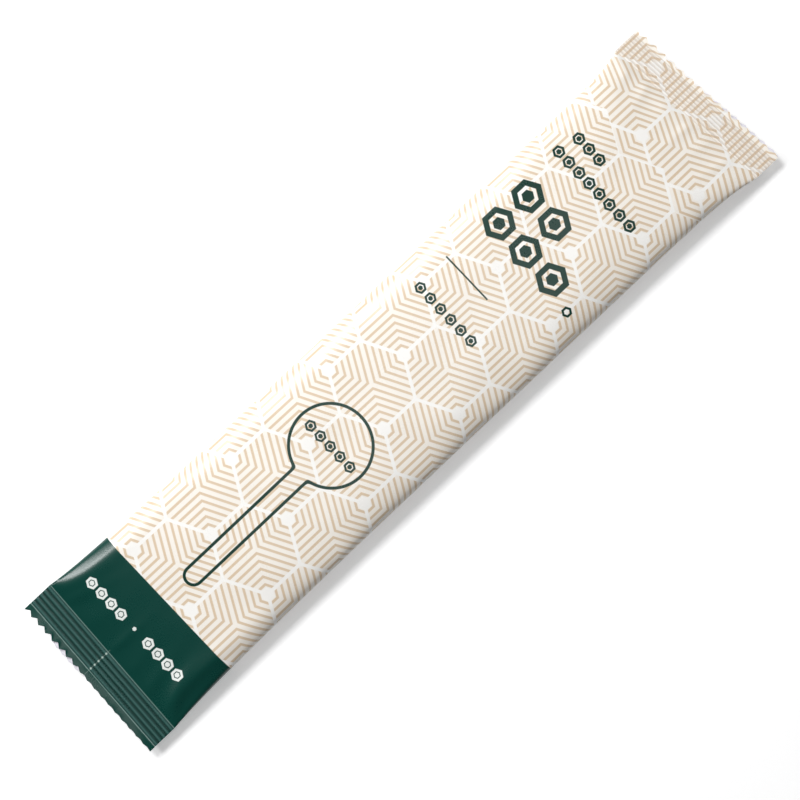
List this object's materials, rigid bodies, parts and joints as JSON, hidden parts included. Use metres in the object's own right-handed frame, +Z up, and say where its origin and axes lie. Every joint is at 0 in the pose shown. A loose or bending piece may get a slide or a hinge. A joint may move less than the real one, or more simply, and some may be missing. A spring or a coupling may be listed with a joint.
{
  "type": "sealed film sachet for a disposable spoon",
  "caption": "Slim flow-wrapped film sachet for a disposable spoon, swollen in the middle, with crimped saw-cut ends and a fin seam folded flat along its back.",
  "frame": {"origin": "middle of the outer box, level with the surface that the pack lies on", "axes": "+X across the pack to the right of its printed front, +Y along the pack to its pale end, +Z up out of its printed front"},
  "size_m": [0.04, 0.1828, 0.007],
  "materials": {
    "printed_film": "satin printed film: pale ground with a fine hexagon line pattern, and a dark green band at one end"
  },
  "bodies": {
    "root": {"film_pack": "printed_film"}
  },
  "joints": []
}
